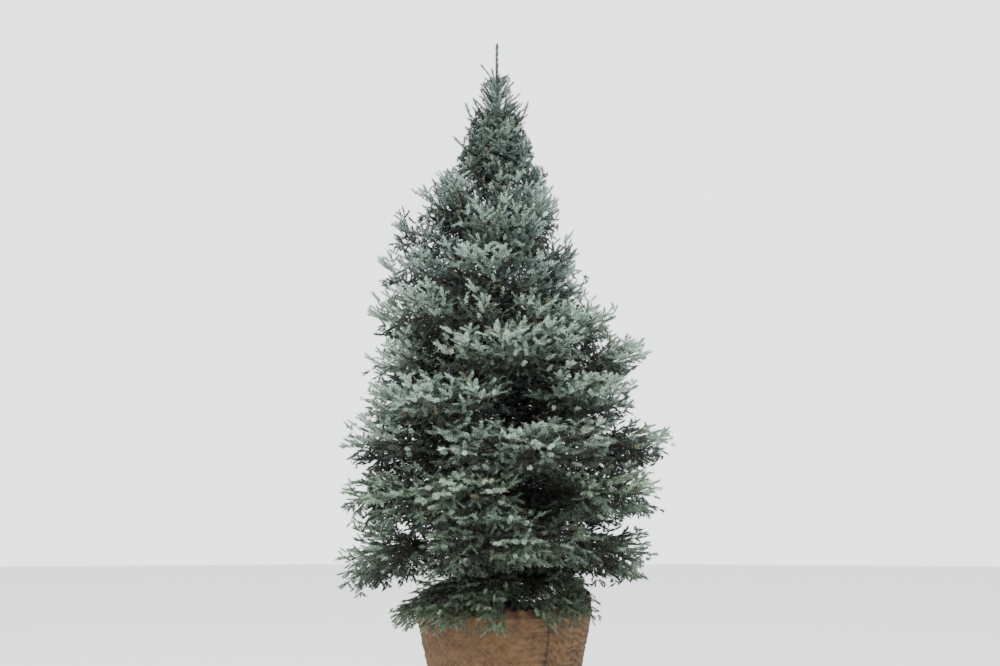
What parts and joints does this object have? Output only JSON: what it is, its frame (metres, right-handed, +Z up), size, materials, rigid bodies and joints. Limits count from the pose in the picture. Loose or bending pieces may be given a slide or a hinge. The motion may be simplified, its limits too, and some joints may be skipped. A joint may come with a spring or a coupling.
{
  "type": "blue spruce on a burlap root ball",
  "caption": "Conical blue spruce with layered boughs, a leaning trunk and a thin leader, standing on a tapered root ball in burlap and wire mesh.",
  "frame": {"origin": "centre of the flat underside of the root ball, on the floor", "axes": "+Z up, -Y towards the front of the tree, +X to its right as seen from the front"},
  "size_m": [2.7678, 2.704, 5.98],
  "materials": {
    "burlap": "coarse woven jute in thin wire mesh",
    "bark": "scaly grey-brown bark",
    "needles": "matt blue-green needles"
  },
  "bodies": {
    "root": {"root_ball": "burlap", "trunk": "bark", "foliage_1_front": "needles", "foliage_1_right": "needles", "foliage_1_left": "needles", "bough_2_front": "bark", "foliage_2_front": "needles", "bough_2_right": "bark", "foliage_2_right": "needles", "bough_2_back": "bark", "foliage_2_back": "needles", "bough_2_left": "bark", "foliage_2_left": "needles", "bough_3_front": "bark", "foliage_3_front": "needles", "bough_3_right": "bark", "foliage_3_right": "needles", "bough_3_back": "bark", "foliage_3_back": "needles", "bough_3_left": "bark", "foliage_3_left": "needles", "bough_4_front": "bark", "foliage_4_front": "needles", "bough_4_right": "bark", "foliage_4_right": "needles", "bough_4_back": "bark", "foliage_4_back": "needles", "bough_4_left": "bark", "foliage_4_left": "needles", "bough_5_front": "bark", "foliage_5_front": "needles", "bough_5_right": "bark", "foliage_5_right": "needles", "bough_5_back": "bark", "foliage_5_back": "needles", "bough_5_left": "bark", "foliage_5_left": "needles", "bough_6_front": "bark", "foliage_6_front": "needles", "bough_6_right": "bark", "foliage_6_right": "needles", "bough_6_back": "bark", "foliage_6_back": "needles", "bough_6_left": "bark", "foliage_6_left": "needles", "foliage_7_front": "needles", "foliage_7_right": "needles", "foliage_7_back": "needles", "foliage_7_left": "needles", "foliage_8_front": "needles", "foliage_8_right": "needles", "foliage_8_left": "needles", "foliage_9_front": "needles", "foliage_9_right": "needles", "foliage_9_left": "needles", "foliage_10_front": "needles", "foliage_10_right": "needles", "foliage_10_left": "needles", "foliage_11_right": "needles", "foliage_11_left": "needles"}
  },
  "joints": []
}
